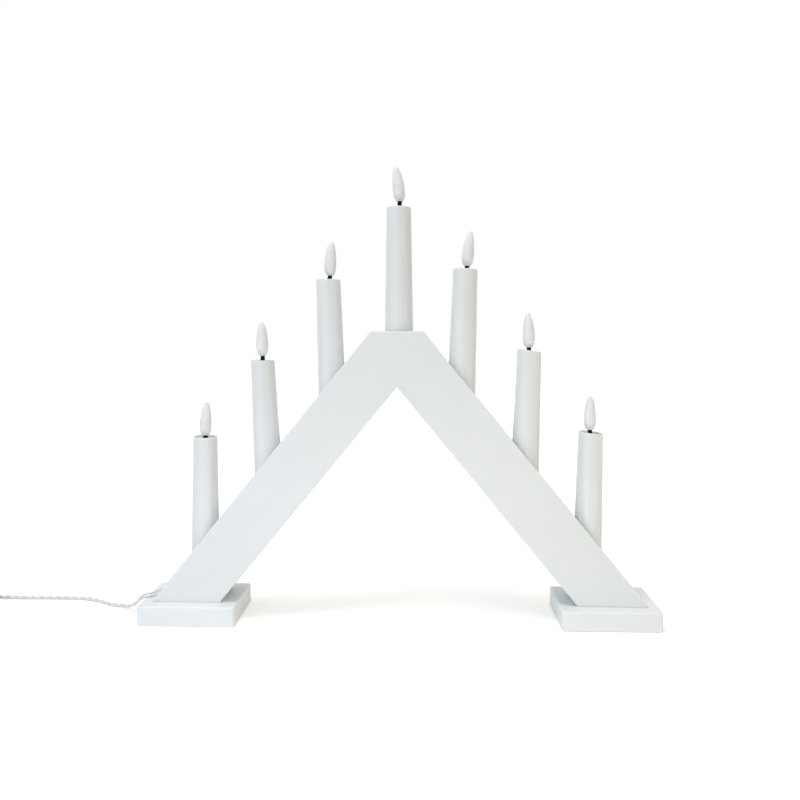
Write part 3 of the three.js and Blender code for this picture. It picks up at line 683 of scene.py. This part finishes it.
def makePlate():
    # the plate in the shell's end, with the sleeves that are moulded round the feet of the pins
    r, end, inset = adapter["pinRadius"], adapterEnd, adapter["plateInset"] + adapter["plateGap"]
    rows = [(inset, end - adapter["plateThick"]), (inset, end - 0.4), (inset + 0.1, end - 0.12),
            (inset + 0.4, end)]
    cuff = [(0, end - 1.5), (r, end - 1.5), (r, sleeveEnd - 0.35), (r - 0.12, sleeveEnd - 0.08),
            (r - 0.3, sleeveEnd), (r - 0.5, sleeveEnd - 0.5), (0, sleeveEnd - 0.5)]
    sheets = tubeSheets(alongAdapter(carriedGrid(adapterOutline, rows)))
    sheets += [pinSheet(cuff, side) for side in (-1, 1)]
    return putPiece("adapterPlate", sheets, adapterWhite, ["adapter_face"])


def makePin(number, side):
    # a round pin whose bare end is a little slimmer than its sleeve and has a domed tip
    r, top = adapter["pinRadius"], adapterEnd + adapter["pinLong"]
    dome = np.linspace(0, pi / 2, 7)
    tip = np.stack([0.5 + (r - 0.65) * np.cos(dome), top - 1.4 + 1.4 * np.sin(dome)], 1)
    metal = np.vstack([[(0, sleeveEnd - 2), (r - 0.15, sleeveEnd - 2)], tip, (0, top)])
    sheets = [pinSheet(metal, side)]
    return putPiece("adapterPin_" + number, sheets, nickelPin, ["adapter_pin_" + number])


adapterPieces = [makeBoot(), makeShell(), makePlate(), makePin("1", 1), makePin("2", -1)]
print("adapter:", len(adapterPieces), "pieces")


# Arms: one lacquered piece with the candles' seats, the lead's hole and the rebate for the wire covers
def slopePoint(side, along, inward):
    # a point on an arm: so far up its outer face, and so far in from that face
    along, inward = np.broadcast_arrays(np.asarray(along, float), np.asarray(inward, float))
    x = arch["outerX"] - along * cosSlope - inward * sinSlope
    return np.stack([side * x, arch["footTop"] + along * sinSlope - inward * cosSlope], -1)


def addDepth(flat, y):
    # points in X and Z take a Y
    flat = np.asarray(flat, float)
    return np.stack(np.broadcast_arrays(flat[..., 0], np.asarray(y, float), flat[..., 1]), -1)


def seatSheet(ends, count, mouth, axis, radius, depth):
    # a face between two ends with a round hole: the ring from the face's edge to the hole's rim, the hole's
    # eased rim and wall, and its floor. The rim is an ellipse where the round hole leaves the slanting face.
    half = arch["depth"] / 2 - arch["edge"]
    low, high = ends
    edge = low + np.linspace(0, 1, count + 1)[:, None] * (high - low)
    rows = np.linspace(-half, half, arch["acrossSteps"] + 1)
    rim = np.vstack([addDepth(edge[:-1], -half), addDepth(high, rows[:-1]),
                     addDepth(edge[:0:-1], half), addDepth(low, rows[:0:-1])])
    tangent = addDepth(unit(high - low), 0)
    normal = np.array([-tangent[2], 0, tangent[0]])
    stretch = 1 / abs(normal @ axis)
    away = rim - mouth
    turn = np.unwrap(np.arctan2(away[:, 1], away @ tangent / stretch))
    fullTurn = 2 * pi * np.sign(turn[-1] - turn[0])
    even = np.linspace(turn[0], turn[0] + fullTurn, len(turn), endpoint=False)
    turn = (turn + arch["rimEven"] * (even - turn))[:, None]
    spokes = stretch * np.cos(turn) * tangent + np.sin(turn) * [0, 1, 0]

    def ring(grow, sink):
        # the hole's outline, wider by so much and so far down the axis
        return mouth + (radius + grow) * spokes - sink * axis

    ease = arch["rimEase"]
    wall = ring(0, ease)
    foot = mouth - depth * axis
    floor = wall - ((wall - foot) @ axis)[:, None] * axis
    centre = np.broadcast_to(foot, floor.shape)
    return gridSheet(np.stack([rim, ring(ease, 0), ring(0.3 * ease, 0.3 * ease), wall, floor, centre]))


def makeArch():
    # both arms share one outline: flat and holed sheets run along it across the depth, its front and back
    # edges move in by a quarter circle, and strips and fans close the front and, round the rebate, the back
    half, face, steps, low = arch["depth"] / 2, arch["face"], arch["seatSteps"], arch["footSteps"]
    inner = half - arch["edge"]
    top = low + 3 * steps
    reach = arch["corner"] * tan(slopeAngle / 2)
    topAlong = (arch["outerX"] - arch["flat"] / 2) / cosSlope - reach
    lowIn = face / tanSlope
    topIn = (arch["outerX"] - face * sinSlope) / cosSlope
    wireIn = arch["wireDrop"] * cosSlope
    across = np.linspace(-inner, inner, arch["acrossSteps"] + 1)
    sheets, outer, inside, bends = [], {}, {}, {}

    def crossSheet(flat):
        # a stretch of the outline carried across the depth
        return gridSheet(addDepth(flat[:, None], across), False)

    # outer faces with their seats, inner faces and undersides
    for side in (-1, 1):
        wireEnd = (arch["outerX"] - 3 * pitch[side] - arch["runOut"] - wireIn * sinSlope) / cosSlope
        spots = [(arch["outerX"] - place * pitch[side]) / cosSlope for place in (3, 2, 1)]
        cuts = [0, wireEnd, (spots[0] + spots[1]) / 2, (spots[1] + spots[2]) / 2, topIn, topAlong]
        counts = [low, steps, steps, steps, arch["topSteps"]]
        runs = [np.linspace(a, b, n, endpoint=False) for a, b, n in zip(cuts[:-1], cuts[1:], counts)]
        outer[side] = np.concatenate(runs + [[topAlong]])
        inside[side] = np.concatenate([[lowIn], outer[side][low + 1:top], [topIn]])
        upwards = candles[:3] if side < 0 else candles[:3:-1]
        for candle, start, end in zip(upwards, cuts[1:], cuts[2:]):
            mouth, axis = seatOf(candle)[:2]
            ends = slopePoint(side, [start, end], 0)
            sheets.append(seatSheet(ends, steps, mouth, axis, arch["seat"], candle["depth"]))
        if side < 0:
            ends = slopePoint(side, [0, wireEnd], 0)
            sheets.append(seatSheet(ends, low, exitPoint, exitLine, arch["exitHole"], arch["exitDeep"]))
        else:
            sheets.append(crossSheet(slopePoint(side, outer[side][:low + 1], 0)))
        sheets += [crossSheet(slopePoint(side, outer[side][top:], 0)),
                   crossSheet(slopePoint(side, inside[side], face)),
                   crossSheet(slopePoint(side, [0, lowIn], [0, face]))]

    # the flat with its seat, and the bends from the outer faces to it
    flatEnd = arch["flat"] / 2 - reach
    flatLine = np.stack([np.linspace(-flatEnd, flatEnd, steps + 1), np.full(steps + 1, flatZ)], 1)
    mouth, axis = seatOf(middleCandle)[:2]
    sheets.append(seatSheet(flatLine[[0, -1]], steps, mouth, axis, arch["seat"], middleCandle["depth"]))
    share = np.linspace(0, 1, arch["cornerSteps"] + 1)[:, None]
    for side in (-1, 1):
        bendEnd = np.array([side * flatEnd, flatZ])
        middle = bendEnd - [0, arch["corner"]]
        bends[side] = arcBetween(middle, slopePoint(side, topAlong, 0), bendEnd, slopeAngle, share)
        sheets.append(crossSheet(bends[side]))

    # the outline, clockwise from the left arm's outer foot
    runs = {
        "outerLeft": slopePoint(-1, outer[-1], 0), "bendLeft": bends[-1][1:-1], "flat": flatLine,
        "bendRight": bends[1][-2:0:-1], "outerRight": slopePoint(1, outer[1], 0)[::-1],
        "innerRight": slopePoint(1, inside[1], face), "innerLeft": slopePoint(-1, inside[-1], face)[-2::-1],
    }
    outline = np.vstack(list(runs.values()))
    starts = np.cumsum([0] + [len(run) for run in runs.values()])
    index = {name: np.arange(starts[k], starts[k + 1]) for k, name in enumerate(runs)}
    weights = np.ones(len(outline))
    weights[[index["outerRight"][-1], -1]] = arch["underEase"]

    # front and back edges
    away, shift = quarterRound(arch["edge"], arch["edgeSteps"])
    loops = np.stack([insetOutline(outline, inset, weights) for inset in away])
    depth = half - shift[:, None]
    sheets += [gridSheet(addDepth(loops, -depth)), gridSheet(addDepth(loops, depth))]

    # front face: strips across each arm, fans at the feet and round the inner corner
    front, back = addDepth(loops[0], -half), addDepth(loops[0], half)
    cornerAt = index["innerRight"][-1]
    rest = len(outer[1]) - top
    crown = np.concatenate([index["outerLeft"][top:], index["bendLeft"], index["flat"], index["bendRight"],
                            index["outerRight"][:rest]])
    line = {-1: index["outerLeft"], 1: index["outerRight"][::-1]}
    under = {-1: np.append(index["innerLeft"][::-1], cornerAt), 1: index["innerRight"]}
    sheets.append(fanSheet(front[cornerAt], front[crown]))
    for side in (-1, 1):
        sheets += [stripSheet(front[line[side][low:top + 1]], front[under[side]]),
                   fanSheet(front[under[side][0]], front[line[side][:low + 1]])]

    # back face, with the rebate that the covers lie in
    sink, band = half - arch["rebate"], arch["rebateHalf"]
    knee = (peakZ - arch["wireDrop"] - linkZ) / tanSlope
    spread = band * (1 - cosSlope) / sinSlope
    upper, lower = {}, {}
    for side in (-1, 1):
        places = outer[side][low:-1]
        highKnee, lowKnee = (side * (knee + spread), linkZ + band), (side * (knee - spread), linkZ - band)
        upper[side] = np.vstack([slopePoint(side, places, wireIn - band), highKnee])
        lower[side] = np.vstack([slopePoint(side, places, wireIn + band), lowKnee])
        high, deep = addDepth(upper[side], half), addDepth(lower[side], half)
        end = np.vstack([back[line[side][:low + 1]], high[0], deep[0], back[under[side][0]]])
        sheets += [stripSheet(back[line[side][low:]], high), faceSheet(end),
                   stripSheet(deep[:top - low + 1], back[under[side]]),
                   fanSheet(back[cornerAt], deep[top - low:]),
                   stripSheet(addDepth(upper[side], sink), addDepth(lower[side], sink))]
    highKnees, lowKnees = [upper[-1][-1], upper[1][-1]], [lower[1][-1], lower[-1][-1]]
    loop = np.vstack([upper[-1], upper[1][::-1], lower[1], lower[-1][::-1]])
    sheets += [faceSheet(np.vstack([back[crown[rest - 1:1 - rest]], addDepth(highKnees[::-1], half)])),
               faceSheet(np.vstack([back[cornerAt], addDepth(lowKnees, half)])),
               faceSheet(addDepth(highKnees + lowKnees, sink)),
               stripSheet(addDepth(loop, half), addDepth(loop, sink), True)]
    return putPiece("archArms", sheets, armLacquer, ["left_arm", "right_arm"])


archArms = makeArch()
print("arms:", len(archArms.data.polygons), "faces")


# Feet
foot = dict(
    middle=182.5, wide=85, deep=62, corner=2.4, edge=1.4, lowEdge=1.2, steps=6, screwX=196,
    screwY=9, hole=4.15, holeEase=0.2, sunk=0.6, shank=2.15, coneTall=2.6, holeDeep=9, cutSteps=11)


def makeFoot(name, side):
    # a rounded frame carried up with quarter-circle edges; two countersunk holes go up into its underside
    w, d, corner = foot["wide"] / 2, foot["deep"] / 2, foot["corner"]
    corners = [(-w, 0, 0), (-w, d, corner), (w, d, corner), (w, 0, 0), (w, -d, corner), (-w, -d, corner)]
    lowIn, lowUp = quarterRound(foot["lowEdge"], foot["steps"])
    highDown, highIn = quarterRound(foot["edge"], foot["steps"])
    rows = np.vstack([np.stack([lowIn, lowUp], 1), np.stack([highIn, arch["footTop"] - highDown], 1)])
    grid = carriedGrid(easeCorners(corners, foot["steps"]), rows) + [side * foot["middle"], 0, 0]
    sheets = [gridSheet(grid), faceSheet(grid[-1])]
    # the underside is cut in two along its middle, from where the outline starts, with a hole in each half
    edge = grid[0]
    cut = len(edge) // 2
    hole, shank, deep = foot["hole"], foot["shank"], foot["holeDeep"]
    profile = [(hole + foot["holeEase"], 0), (hole, foot["holeEase"]), (hole, foot["sunk"]),
               (shank, foot["sunk"] + foot["coneTall"]), (shank, deep), (0, deep)]
    share = np.linspace(0, 1, foot["cutSteps"] + 1)[1:-1, None]
    for rim, sign in ((edge[:cut + 1], 1), (np.vstack([edge[cut:], edge[0]]), -1)):
        rim = np.vstack([rim, rim[-1] + share * (rim[0] - rim[-1])])
        x, y = side * foot["screwX"], sign * foot["screwY"]
        start = np.arctan2(rim[0, 1] - y, rim[0, 0] - x)
        area = np.sum(rim[:, 0] * np.roll(rim[:, 1], -1) - np.roll(rim[:, 0], -1) * rim[:, 1])
        angle = start + np.sign(area) * np.linspace(0, 2 * pi, len(rim), endpoint=False)
        rings = [np.stack([x + r * np.cos(angle), y + r * np.sin(angle), np.full(len(angle), z)], 1)
                 for r, z in profile]
        sheets.append(gridSheet(np.stack([rim] + rings)))
    return putPiece(name + "FootBlock", sheets, footLacquer, [name + "_foot"])


feet = [makeFoot("left", -1), makeFoot("right", 1)]
print("feet:", len(feet))


# Candle sleeves, wicks and flame lamps
sleeve = dict(
    long=116.9, base=12.4, top=10.3, bore=8.6, rim=9, rimSlope=0.15, cup=2, cupFloor=1.6, hole=3.25,
    lift=0.3, trimAt=70, trimOver=40, sides=96)
lamp = dict(
    pivot=114.7, drop=3.6, ball=3, stem=1.95, tuck=3, bowAt=0.5, tall=29.85, wide=5.15, neck=2.7, bend=1.2,
    shoulder=0.25, mouthGap=0.15, mouthDeep=1.4, stemSides=28, sides=56, rows=56)


def leaned(grid, base, degrees):
    # a shape that stands on a base point leans to the right about the front-to-back axis
    a = radians(degrees)
    x, y, z = np.moveaxis(grid, -1, 0)
    return np.stack([base[0] + x * cos(a) + z * sin(a), base[1] + y, base[2] + z * cos(a) - x * sin(a)], -1)


def sleeveProfile():
    # up the tapered outside, over the rim into the cup, through the wick's hole and down the bore
    tall, bore, rim, hole = sleeve["long"], sleeve["bore"], sleeve["rim"], sleeve["hole"]
    cupZ = tall - sleeve["cup"]
    ceilingZ = cupZ - sleeve["cupFloor"]
    return easeCorners([
        (bore, 0, 0.3), (sleeve["base"], 0, 0.5), (sleeve["top"], tall, 0.55), (rim, tall, 0.45),
        (rim - sleeve["rimSlope"], cupZ, 0.7), (hole, cupZ, 0.25), (hole, ceilingZ, 0.2),
        (bore, ceilingZ, 0.4),
    ])


def wickGrid(show):
    # a ball in the cup and a slim stem whose ends swell a little
    meet = np.arcsin(lamp["stem"] / lamp["ball"])
    a = np.linspace(pi, meet, 22)
    ball = lamp["ball"] * np.stack([np.sin(a), np.cos(a)], 1)
    top = lamp["drop"] + show + lamp["tuck"]
    share = np.linspace(0, 1, 18)[1:]
    z = ball[-1, 1] + share * (top - ball[-1, 1])
    stem = np.stack([lamp["stem"] * (0.99 + 0.02 * np.cos(2 * pi * share)), z], 1)
    return turnedGrid(np.vstack([ball, stem, (0, top)]), lamp["stemSides"])


def flameRadius(share):
    # a quick swell from the neck, then a long pointed arch
    wide, shoulder = lamp["wide"], lamp["shoulder"]
    below = wide - (wide - lamp["neck"]) * np.clip(1 - share / shoulder, 0, 1) ** 2.8
    above = np.clip((share - shoulder) / (1 - shoulder), 0, 1)
    return np.where(share < shoulder, below, wide * (1 - above ** 2) ** 0.53)


def flameGrid(turnDegrees):
    # the flame's radius turned round its axis, which bends towards the turn with the square of the height
    share = 0.5 - 0.5 * np.cos(np.linspace(0, pi, lamp["rows"]))
    outer = np.stack([flameRadius(share), share * lamp["tall"]], 1)
    hole, deep = lamp["stem"] + lamp["mouthGap"], lamp["mouthDeep"]
    mouth = [(0, deep), (hole, deep), (hole, 0.35), (lamp["neck"] - 0.35, 0)]
    grid = turnedGrid(np.vstack([mouth, outer]), lamp["sides"])
    a = radians(turnDegrees)
    x, y, z = np.moveaxis(grid, -1, 0)
    x = x + lamp["bend"] * np.clip(z / lamp["tall"], 0, 1) ** 2
    return np.stack([x * cos(a) - y * sin(a), x * sin(a) + y * cos(a), z], -1)


def makeCandle(n, candle):
    # the sleeve stands on its seat's foot, its rim trimmed over the upper part; the stem bows aside above the
    # sleeve's floor, and the flame stands on the stem's upper end
    axis, bottom = seatOf(candle)[1:]
    shell = turnedGrid(sleeveProfile(), sleeve["sides"]) + [0, 0, sleeve["lift"]]
    trim = smoothStep((shell[..., 2] - sleeve["trimAt"]) / sleeve["trimOver"])
    shell[..., 2] += (candle["rimRise"] - candle["rimFall"] * shell[..., 0]) * trim
    shell = gridSheet(leaned(shell, bottom, candle["lean"]), True, True)
    pivot = bottom + axis * lamp["pivot"]
    neck = lamp["drop"] + candle["show"]
    stem = wickGrid(candle["show"])
    stem[..., 0] += candle["bow"] * smoothStep((stem[..., 2] - lamp["bowAt"]) / (neck - lamp["bowAt"]))
    stem = gridSheet(leaned(stem, pivot, candle["flameLean"]))
    bulb = flameGrid(candle["tipTurn"])
    bulb[..., 0] += candle["bow"] - candle["giveBack"] * bulb[..., 2] / lamp["tall"]
    bulb = gridSheet(leaned(bulb + [0, 0, neck], pivot, candle["flameLean"]))
    for name, sheet, finish, slotName, body in (("sleeveShell_", shell, candleWhite, "candle", "sleeve_"),
                                                ("wickStem_", stem, wickBlack, "wick", "lamp_"),
                                                ("flameLamp_", bulb, flameMilk, "flame", "lamp_")):
        putPiece(name + n, [sheet], finish, [slotName + "_" + n], body + n)


for number, candle in enumerate(candles, 1):
    makeCandle(str(number), candle)
print("candles:", len(candles))


# Nodes that keep their CAD shape
kept = {"beech": beech, "steel": zincSteel, "lacquer": armLacquer, "wire": insulation, "diode": diodeResin}
slotOf = {part["node"]: part["material_slot"] for part in frame["record"]["subparts"]}
shown = {name: node for name, node in nodes.items() if not node.hide_render}
for name, node in shown.items():
    node.data.materials.clear()
    node.data.materials.append(kept[slotOf[name]])
print("kept nodes:", len(shown))


# Floor, light and background, in metres
studio = dict(
    floorReach=9, floorTone=rgba(0.88, 0.88, 0.88), liftNear=0.32, liftFar=0.64, nearAt=0.3, farAt=1.7,
    left=rgba(0.09, 0.17, 0.17), right=rgba(0.14, 0.11, 0.02), front=rgba(0.307, 0.302, 0.32),
    above=rgba(0.795, 0.782, 0.745))
# name, place, aim, width, height, power, tint
lamps = [("overhead", (-0.28, -0.26, 1.5), (0, 0, 0.05), 0.45, 0.45, 7.4, (1.02, 0.985, 0.995)),
         ("cardLeft", (-0.3, -0.42, 0.04), (-0.12, 0, 0.02), 0.42, 0.06, 0.16, (0.87, 0.88, 1.42)),
         ("cardRight", (0.3, -0.42, 0.04), (0.12, 0, 0.02), 0.42, 0.06, 0.085, (1.11, 1.05, 0.66)),
         ("cardMiddle", (0.02, -0.26, 0.03), (0, 0.05, 0.03), 0.16, 0.05, 0.08, (1.05, 1, 0.9)),
         ("fillRight", (0.8, -0.1, 0.14), (0, 0, 0.06), 0.5, 0.2, 0.36, (1.05, 1, 0.86)),
         ("strip", (-0.72, -1.14, 0.5), (0, 0, 0.25), 0.1, 1, 1.68, (0.87, 1.03, 1.1))]
black, white = rgba(0, 0, 0), rgba(1, 1, 1)


def seenRays(signal):
    # 1 for the rays of the camera, of a gloss and through a clear piece
    camera, gloss, clear = [signal.node("ShaderNodeLightPath", {}, {}, name)
                            for name in ("Is Camera Ray", "Is Glossy Ray", "Is Transmission Ray")]
    return (camera + gloss + clear).limit(0, 1)


def makeStage():
    # a flat floor; where it is seen it is lifted towards white, less near the object so that the shadow stays
    corners = studio["floorReach"] * np.array([(-1, -1, 0), (1, -1, 0), (1, 1, 0), (-1, 1, 0)])
    mesh = bpy.data.meshes.new("floor")
    mesh.from_pydata(corners.tolist(), [], [(0, 1, 2, 3)])
    finish, where = newFinish("floorWhite", {"Base Color": studio["floorTone"], "Roughness": 0.9,
                                             "Specular IOR Level": 0.1, "Emission Strength": 1})
    away = where.node("ShaderNodeVectorMath", {"operation": "LENGTH"}, {0: where}, "Value")
    lift = away.limit(studio["nearAt"], studio["farAt"], studio["liftNear"], studio["liftFar"])
    mesh.materials.append(feed(finish, glow=(seenRays(where) * lift).mix(black, white)))
    floor = bpy.data.objects.new("floor", mesh)
    scene.collection.objects.link(floor)


def makeLight():
    # the room's light is a sum of four sides, each by how far a ray points to it, and white where it is seen
    world = bpy.data.worlds.new("studio")
    scene.world = world
    world.use_nodes = True
    tree = world.node_tree
    ray = Signal(tree).node("ShaderNodeTexCoord", {}, {}, "Generated")
    x, y, z = ray.split()
    parts = [toward.limit(0, 1).mix(black, studio[name])
             for name, toward in (("left", -x), ("right", x), ("front", -y), ("above", z))]
    room = parts[0]
    for part in parts[1:]:
        room = room.vectors("ADD", part)
    tree.links.new(seenRays(ray).mix(room, white).socket, tree.nodes["Background"].inputs["Color"])
    for name, place, aim, width, height, power, tint in lamps:
        data = bpy.data.lights.new(name, "AREA")
        data.energy = power
        data.color = tint
        data.shape = "RECTANGLE"
        data.size = width
        data.size_y = height
        light = bpy.data.objects.new(name, data)
        light.visible_camera = False
        turn = (Vector(aim) - Vector(place)).to_track_quat("-Z", "Y")
        light.matrix_world = Matrix.Translation(place) @ turn.to_matrix().to_4x4()
        scene.collection.objects.link(light)


makeStage()
makeLight()
print("stage and light set")
